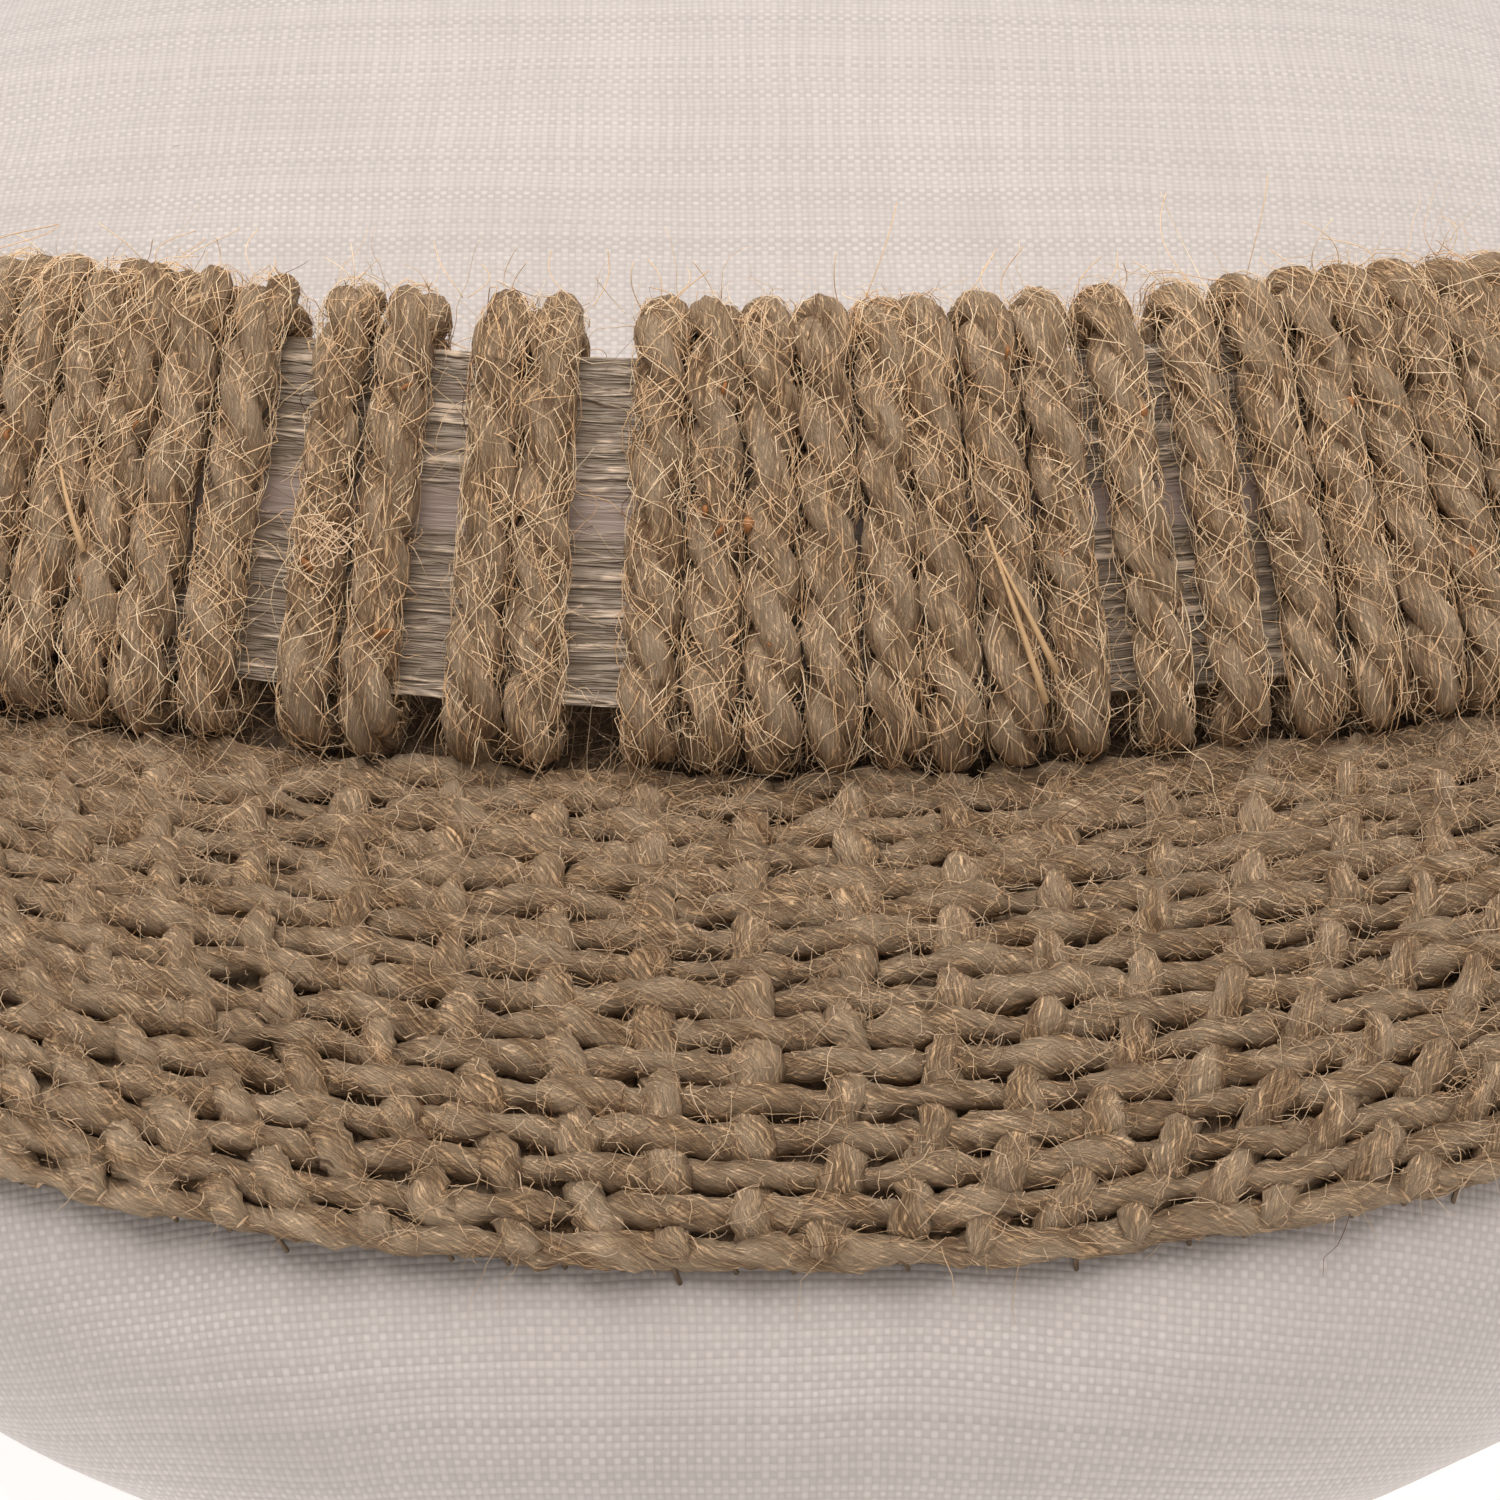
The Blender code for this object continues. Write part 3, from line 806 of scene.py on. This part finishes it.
def hugging_hairs(rng, name, line, reach, count, steps=6):
    """Fibres that lie along a yarn, a little off its surface."""
    length = rng.uniform(3, 12, count)
    start = rng.uniform(0, len(line) - 14, count)
    share = np.linspace(0, 1, steps)
    at = start[:, None] + length[:, None] * share
    low = at.astype(int)
    part = (at - low)[..., None]
    first, second = transported(line[None])
    centre = line[low] * (1 - part) + line[low + 1] * part
    turn = (rng.uniform(0, 2 * math.pi, count)[:, None]
            + rng.normal(0, 1.9, count)[:, None] * share
            + wander(rng, count, steps, 0.30, 4))
    out = turned_out(first[0][low], second[0][low], turn)
    lift = (rng.gamma(1.6, 0.00016, count)[:, None] * np.sin(math.pi * share) ** 0.8
            + wander(rng, count, steps, 0.00006, 5) - 0.00005)
    paths = centre + out * (reach + lift)[..., None]
    radius = bpy.context.scene.pillow_sizes.fibre_radius
    radii = radius * rng.uniform(0.6, 1.3, count)[:, None] * np.ones(steps)
    return tubes(name, paths, radii, 3)


def free_hairs(rng, name, roots, outward, along, count, longest, steps, spread=0.5):
    """Fibres that leave a surface and curl away from it."""
    pick = rng.integers(0, len(roots), count)
    heading = unit(outward[pick] * rng.uniform(0.2, 1.3, count)[:, None]
                   + along[pick] * rng.normal(0, 0.9, count)[:, None]
                   + rng.normal(0, spread, (count, 3)))
    length = np.minimum(rng.gamma(2.0, longest / 5, count), longest)
    step = length / (steps - 1)
    curl = rng.normal(0, 0.36, (count, 3))
    curl_step = rng.normal(0, 0.32, (count, steps, 3))
    paths = np.zeros((count, steps, 3))
    paths[:, 0] = roots[pick]
    for i in range(1, steps):
        heading = unit(heading + curl + curl_step[:, i])
        paths[:, i] = paths[:, i - 1] + heading * step[:, None]
    radius = bpy.context.scene.pillow_sizes.fibre_radius
    radii = (radius * rng.uniform(0.55, 1.25, count)[:, None]
             * np.linspace(1.0, 0.5, steps))
    return tubes(name, paths, radii, 3)


class PILLOW_OT_strip(bpy.types.Operator):
    """Make the thin wooden strip that stands along the panel's mouth"""
    bl_idname = "pillow.strip"
    bl_label = "Standing strip"

    def execute(self, context):
        bpy.ops.object.select_all(action="DESELECT")
        bpy.ops.mesh.primitive_grid_add(x_subdivisions=240, y_subdivisions=24, size=2)
        strip = context.object
        strip.name = "wooden_strip"
        flat = points_of(strip).astype(float)
        place, height = flat[:, 0] * STRIP_HALF_LENGTH, (flat[:, 1] + 1) / 2 * STRIP_HEIGHT
        ripple = 0.00006 * np.sin(height * 2900 + 2 * np.sin(place * 90))
        points = strip_point(place, height, ripple)
        strip.data.vertices.foreach_set("co", points.astype(np.float32).ravel())
        lay_flat(strip, np.stack([place, height], -1))
        strip.data.shade_smooth()
        thicken(strip, STRIP_THICKNESS, 0.0)
        bpy.ops.object.shade_smooth_by_angle(angle=math.radians(40))
        dress(strip, wood_material())
        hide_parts("edge_strip")
        return {"FINISHED"}


class PILLOW_OT_whipping(bpy.types.Operator):
    """Wind the two-ply twine round the strip and give it its fuzz"""
    bl_idname = "pillow.whipping"
    bl_label = "Twine whipping"

    def execute(self, context):
        rng = np.random.default_rng(21)
        line = twine_path()
        plies = twine_plies(line)
        dress(plies, jute_material("jute_twine", -150.0, 0.10))
        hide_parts("whipping_twine")
        hair = hair_material("twine_fibres")
        reach = context.scene.pillow_sizes.ply_radius * 1.52
        for i in range(3):
            fuzz = hugging_hairs(rng, f"twine_fuzz_{i + 1}", line, reach, TWINE_FUZZ)
            dress(fuzz, hair)
        first, second = transported(line[None])
        turn = rng.uniform(0, 2 * math.pi, len(line))
        outward = turned_out(first[0], second[0], turn)
        along = unit(np.gradient(line, axis=0))
        roots = line + outward * reach * 0.92
        for i, (count, longest, steps) in enumerate(((TWINE_FUZZ, 0.0045, 6),
                                                     (LONG_HAIRS, 0.0090, 10))):
            loose = free_hairs(rng, f"twine_hairs_{i + 1}", roots, outward, along, count,
                               longest, steps)
            dress(loose, hair)
        self.strays(rng, hair)
        self.shives(rng)
        return {"FINISHED"}

    def strays(self, rng, hair):
        """Long single fibres that stand up from the top of the whipping, and a tangle."""
        share = np.linspace(0, 1, 16)
        roots = np.concatenate([rng.uniform(-0.068, 0.068, UPRIGHT_FIBRES),
                                [0.0075, 0.0300, 0.0315, 0.0345]])
        paths = []
        for root in roots:
            reach = rng.uniform(0.001, 0.0040) if len(paths) < UPRIGHT_FIBRES else 0.0065
            side, bow = rng.uniform(-0.003, 0.003), rng.uniform(-0.0012, 0.0012)
            paths.append(strip_point(
                root + side * share ** 1.4 + bow * np.sin(math.pi * share),
                STRIP_HEIGHT + 0.0030 + reach * share,
                0.0010 + 0.0016 * np.sin(2.4 * share + root * 900)))
        radius = bpy.context.scene.pillow_sizes.fibre_radius
        strays = tubes("long_fibres", np.stack(paths), radius * 1.1, 4)
        dress(strays, hair)
        loops = []
        for _ in range(30):
            place, height = rng.normal(-0.0268, 0.0008), rng.normal(0.0085, 0.0009)
            sizes = rng.uniform(0.0004, 0.0016, 2)
            phase, turns = rng.uniform(0, 6.28, 2), rng.uniform(1.5, 4.5)
            loops.append(strip_point(
                place + sizes[0] * np.sin(turns * share + phase[0]) + 0.001 * share,
                height + sizes[1] * np.cos(turns * share + phase[1]),
                WRAP_REACH + 0.0003 + 0.0006 * rng.random() * np.sin(math.pi * share)))
        tangle = tubes("pale_tangle", np.stack(loops), radius * 1.15, 4)
        dress(tangle, plain_material("pale_fibre", PALE_FIBRE, 0.5))

    def shives(self, rng):
        """Chips of straw and bark that are caught in the twine."""
        share = np.linspace(0, 1, 7)
        bend = np.sin(math.pi * share)
        lying = WRAP_REACH + 0.0002
        straws = ((0.0144, 0.0104, 0.0172, -0.0006), (0.0150, 0.0085, 0.0180, 0.0012),
                  (-0.0438, 0.0110, -0.0412, 0.0060), (0.0484, 0.0150, 0.0508, 0.0100))
        paths = np.stack([strip_point(a + (c - a) * share, b + (d - b) * share,
                                      lying + 0.0004 * bend) for a, b, c, d in straws])
        radii = 0.00022 * np.linspace(0.4, 1.1, 7)
        straw = tubes("straw_shives", paths, radii, 6)
        dress(straw, plain_material("straw", STRAW_CHIP, 0.6))
        turns = np.concatenate([first + TWINE_PITCH * np.arange(count)
                                for first, count in TWINE_GROUPS])
        places = [(-0.0006, 0.0104), (0.0166, 0.0205), (-0.0230, 0.0180),
                  *zip(rng.choice(turns, 24) + rng.normal(0, 0.0004, 24),
                       rng.uniform(0.001, 0.020, 24))]
        paths = np.stack([strip_point(
            a + rng.normal(0, 0.0002) + 0.0006 * share * rng.normal(),
            b + 0.0013 * share * rng.uniform(0.3, 1.0),
            lying - 0.0008 + 0.0006 * bend) for a, b in places])
        radii = rng.uniform(0.00008, 0.00026, (len(places), 1)) * (0.4 + 0.6 * bend)
        radii[:3] *= 1.4
        bark = tubes("bark_chips", paths, radii, 6, rough=0.2)
        dress(bark, plain_material("orange_bark", BARK_CHIP, 0.7))


def weave_columns():
    """For each warp yarn its place across the panel, from the mouth (0) to the edge (1)."""
    sizes = bpy.context.scene.pillow_sizes
    low = panel_point(np.linspace(-1, 1, 200), 1.0)
    half = np.linalg.norm(np.diff(low, axis=0), axis=1).sum() / 2
    edge_step = sizes.warp_pitch / half
    mouth_step = sizes.warp_pitch * 1.38 / PANEL_HALF_LENGTH
    return edge_step, mouth_step, int(1 / edge_step)


def column_step(down):
    edge_step, mouth_step, _ = weave_columns()
    return mouth_step + (edge_step - mouth_step) * down ** 0.8


def mouth_tangle(rng, count):
    """Roots and headings of the fibres matted along the panel's mouth, under the twine."""
    across = rng.uniform(-0.99, 0.99, count)
    down = rng.beta(1.2, 2.6, count) * 0.75 - 0.28
    lift = np.where(down < 0, rng.uniform(-0.0018, -0.0011, count),
                    rng.uniform(-0.0006, 0.0009, count))
    roots = panel_point(across, down, lift)
    ahead = panel_point(across + 0.01, down, 0.0) - panel_point(across, down, 0.0)
    return roots, unit(ahead)


def weave_rows():
    """The weft yarns' places down the panel, from its lower edge up."""
    pitch = bpy.context.scene.pillow_sizes.weft_pitch
    down = np.linspace(0, 1, 200)
    line = panel_point(np.zeros(200), down)
    along = distances(line)
    count = int(along[-1] / pitch)
    places = along[-1] - 0.0009 - np.arange(count) * pitch
    rows = np.append(np.interp(places, along, down), 0.0)
    return rows, count + 1


class PILLOW_OT_panel(bpy.types.Operator):
    """Weave the coarse jute panel over its backing"""
    bl_idname = "pillow.panel"
    bl_label = "Jute panel"

    def execute(self, context):
        rng = np.random.default_rng(8)
        wefts = self.wefts(rng)
        warps = self.warps(rng)
        backing = self.backing()
        dress(wefts, jute_material("jute_weft", -180.0, 0.14))
        dress(warps, jute_material("jute_warp", 180.0, 0.12))
        # Painted shade: the backing is darkened by 0.55 so that the weave's gaps and the space
        # under the strip look shadowed.
        dress(backing, jute_material("jute_backing", 0.0, 0.55))
        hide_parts("jute_panel")
        self.fuzz(rng)
        points = self.backing_points(*self.backing_grid())
        return {"FINISHED"}

    def wefts(self, rng):
        rows, count = weave_rows()
        steps = 300
        across = np.linspace(-0.992, 0.992, steps)
        column = across[None] / column_step(rows)[:, None]
        parity = np.arange(count)[:, None] * math.pi
        lift = WEAVE_AMPLITUDE * np.cos(math.pi * column + parity)
        down = rows[:, None] + wander(rng, count, steps, 0.005, 60)
        paths = panel_point(across[None] + 0 * down, down, lift)
        radii = 0.00090 * (1 + wander(rng, count, steps, 0.20, 90))
        return tubes("jute_wefts", paths, radii, 9, (1.12, 0.80, self.outward(paths)), 0.09)

    def warps(self, rng):
        edge_step, mouth_step, count = weave_columns()
        rows, row_count = weave_rows()
        steps = 90
        down = np.linspace(0.0, 0.980, steps)
        taper = np.clip((1 - np.linspace(0, 1, steps)) * 16 + 0.45, 0, 1)
        order = np.interp(down, rows[::-1], np.arange(row_count)[::-1].astype(float))
        paths, radii = [], []
        for j in range(-count, count + 1):
            across = j * column_step(down) + wander(rng, 1, steps, 0.0022, 20)[0]
            inside = np.abs(across) < 0.985
            if inside.sum() < 8:
                continue
            first = int(np.argmax(inside))
            stretch = np.linspace(down[first], down[-1], steps)
            across = np.interp(stretch, down, across)
            row = np.interp(stretch, down, order)
            lift = -WEAVE_AMPLITUDE * np.cos(math.pi * row + math.pi * j)
            paths.append(panel_point(across, stretch, lift * 1.15))
            radii.append(0.00108 * taper * (1 + wander(rng, 1, steps, 0.13, 40)[0]))
        paths = np.stack(paths)
        return tubes("jute_warps", paths, np.stack(radii), 9,
                     (1.15, 0.72, self.outward(paths)), 0.09)

    def outward(self, paths):
        """Roughly the way out of the pillow at each point, from the middle of its foot."""
        return unit(paths)

    def backing_grid(self):
        return np.meshgrid(np.linspace(-0.99, 0.99, 121), np.linspace(-0.36, 0.985, 55),
                           indexing="ij")

    def backing_points(self, across, down):
        """Just off the linen, and on under the strip by the same reach all along it."""
        shown = np.maximum(down, 0)
        points = panel_point(across, shown, -0.0009 - 0.0008 * (1 - shown))
        # It runs on under the strip, where its dark cloth is the painted shadow below the
        # strip.
        inward = unit(strip_rise(across * PANEL_HALF_LENGTH)[1] * np.array([1.0, 1.0, 0.0]))
        moved = points - inward * (BACKING_REACH * np.minimum(down, 0))[..., None]
        moved[..., 2] += skin_height(*moved[..., :2].T).T - skin_height(*points[..., :2].T).T
        return moved

    def backing(self):
        across, down = self.backing_grid()
        points = self.backing_points(across, down)
        index = np.arange(points[..., 0].size).reshape(across.shape)
        quads = np.stack([index[:-1, :-1], index[:-1, 1:], index[1:, 1:], index[1:, :-1]], -1)
        flat = np.stack([across * 6, down * 0.036], -1)
        sheet = mesh_object("jute_backing", points.reshape(-1, 3), quads.reshape(-1, 4),
                            flat.reshape(-1, 2))
        thicken(sheet, 0.0003, 0.0)
        return sheet

    def area(self, points):
        side = points[1:, :-1] - points[:-1, :-1]
        other = points[:-1, 1:] - points[:-1, :-1]
        return float(np.linalg.norm(np.cross(side, other), axis=-1).sum())

    def fuzz(self, rng):
        hair = hair_material("cloth_fibres", 0.72)
        for i, longest in enumerate((0.0035, 0.0055)):
            across = rng.uniform(-0.98, 0.98, CLOTH_ROOTS)
            down = rng.beta(0.9, 1.25, CLOTH_ROOTS) * 0.99
            roots = panel_point(across, down, rng.uniform(0.0006, 0.0015, CLOTH_ROOTS))
            ahead = panel_point(across + 0.01, down, 0.0) - panel_point(across, down, 0.0)
            loose = free_hairs(rng, f"panel_hairs_{i + 1}", roots, self.outward(roots) * 0.5,
                               unit(ahead), CLOTH_HAIRS, longest, 6, spread=0.45)
            dress(loose, hair)
        roots, ahead = mouth_tangle(rng, CLOTH_ROOTS)
        mat = free_hairs(rng, "mouth_tangle", roots, self.outward(roots) * 0.25, ahead,
                         MOUTH_HAIRS, 0.010, 8, spread=0.22)
        dress(mat, hair)


class PILLOW_OT_stitches(bpy.types.Operator):
    """Make the stitches at the panel's edge and at the strip's two ends"""
    bl_idname = "pillow.stitches"
    bl_label = "Stitches"

    def execute(self, context):
        twine = jute_material("stitch_twine", 120.0, 0.3)
        count, steps = 52, 9
        across = np.linspace(-0.97, 0.97, count)[:, None]
        share = np.linspace(0, 1, steps)[None]
        longer = np.where(np.arange(count) % 7 == 3, 0.030, 0.0)[:, None]
        down = 0.955 + (0.042 + longer) * share
        lift = 0.0008 * np.sin(math.pi * share) * (1 - share) - 0.0011 * share
        paths = panel_point(across + 0.008 * share, down, lift + 0 * across)
        edge = tubes("edge_stitches", paths, 0.00016, 5)
        dress(edge, twine)
        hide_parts("panel_edge_thread")
        pale_twine = jute_material("end_twine", 120.0)
        for side, name in ((-1, "left"), (1, "right")):
            self.end_stitch(side, name, pale_twine)
        return {"FINISHED"}

    def end_stitch(self, side, name, twine):
        """Three strands of thread over one end of the strip, down to the linen."""
        strands = []
        arc = np.linspace(0, 1, 40)
        for k in range(3):
            place = side * (STRIP_HALF_LENGTH - 0.0021 + 0.0006 * k)
            height = -0.0013 + (STRIP_HEIGHT + 0.0026) * arc
            depth = 0.0012 * np.clip(np.sin(math.pi * arc) * 6, 0, 1)
            over = strip_point(np.full(40, place), height, depth)
            legs = []
            for end in (over[0], over[-1]):
                fall = np.linspace(0, 1, 8)[:-1][:, None]
                foot = np.array([end[0], end[1], skin_height(end[0], end[1]) - 0.0003])
                legs.append(foot + (end - foot) * fall)
            strands.append(np.concatenate([legs[0], over, legs[1][::-1]]))
        stitch = tubes(f"end_stitches_{name}", np.stack(strands), 0.00038, 8)
        dress(stitch, twine)
        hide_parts(f"end_stitch_{name}")


class PILLOW_OT_stage(bpy.types.Operator):
    """Set the pale floor, the soft studio lights and the camera"""
    bl_idname = "pillow.stage"
    bl_label = "Stage"

    def execute(self, context):
        bpy.ops.object.select_all(action="DESELECT")
        bpy.ops.mesh.primitive_plane_add(size=6, location=(0, 0, 0))
        floor = context.object
        floor.name = "studio_floor"
        mat, _, shader = new_material("studio_floor", 0.9)
        shader.inputs["Base Color"].default_value = (0.95, 0.95, 0.95, 1.0)
        shader.inputs["Emission Color"].default_value = (1.0, 1.0, 1.0, 1.0)
        shader.inputs["Emission Strength"].default_value = FLOOR_GLOW
        floor.data.materials.append(mat)
        for lamp in LAMPS:
            self.light(*lamp)
        world = bpy.data.worlds.new("studio")
        world.use_nodes = True
        background = world.node_tree.nodes["Background"]
        background.inputs["Color"].default_value = (1.0, 0.99, 0.98, 1.0)
        background.inputs["Strength"].default_value = SKY_STRENGTH
        context.scene.world = world
        context.scene.view_settings.view_transform = "Standard"
        self.camera(context)
        return {"FINISHED"}

    def light(self, name, place, target, size, power):
        bpy.ops.object.light_add(type="AREA", location=place)
        lamp = bpy.context.object
        lamp.name = f"{name}_light"
        lamp.data.size = size
        lamp.data.energy = power
        way = np.array(target) - np.array(place)
        lamp.rotation_euler = look_angles(way)

    def camera(self, context):
        """A long lens, looking down on the standing edge from the front."""
        ahead = (0, math.cos(CAMERA_ELEVATION), -math.sin(CAMERA_ELEVATION))
        bpy.ops.object.camera_add(location=CAMERA_PLACE)
        camera = context.object
        camera.name = "camera"
        camera.rotation_euler = look_angles(ahead)
        camera.data.lens = CAMERA_LENS
        camera.data.sensor_width = 36
        camera.data.clip_start = 0.01
        context.scene.camera = camera


def look_angles(way):
    """Euler angles that point an object's -Z along a way, with its +Y up."""
    flat = math.hypot(way[0], way[1])
    return (math.atan2(flat, -way[2]), 0.0, math.atan2(-way[0], way[1]))


class PILLOW_PT_panel(bpy.types.Panel):
    """The pillow's pieces, in the order in which they are made"""
    bl_idname = "PILLOW_PT_panel"
    bl_label = "Ring bearer pillow"
    bl_space_type = "VIEW_3D"
    bl_region_type = "UI"
    bl_category = "Ring pillow"

    def draw(self, context):
        for group in (context.scene.pillow_sizes, context.scene.pillow_colours):
            for key in group.__annotations__:
                self.layout.prop(group, key)
        for operator in OPERATORS:
            self.layout.operator(operator.bl_idname)


OPERATORS = (PILLOW_OT_stage, PILLOW_OT_cushion, PILLOW_OT_base, PILLOW_OT_strip,
             PILLOW_OT_whipping, PILLOW_OT_panel, PILLOW_OT_stitches)
CLASSES = (PillowSizes, PillowColours, *OPERATORS, PILLOW_PT_panel)


def register():
    for cls in CLASSES:
        bpy.utils.register_class(cls)
    bpy.types.Scene.pillow_sizes = bpy.props.PointerProperty(type=PillowSizes)
    bpy.types.Scene.pillow_colours = bpy.props.PointerProperty(type=PillowColours)


def unregister():
    del bpy.types.Scene.pillow_colours
    del bpy.types.Scene.pillow_sizes
    for cls in reversed(CLASSES):
        bpy.utils.unregister_class(cls)


def main():
    register()
    bpy.ops.pillow.stage()
    bpy.ops.pillow.cushion()
    bpy.ops.pillow.base()
    bpy.ops.pillow.strip()
    bpy.ops.pillow.whipping()
    bpy.ops.pillow.panel()
    bpy.ops.pillow.stitches()


if __name__ == "__main__":
    main()
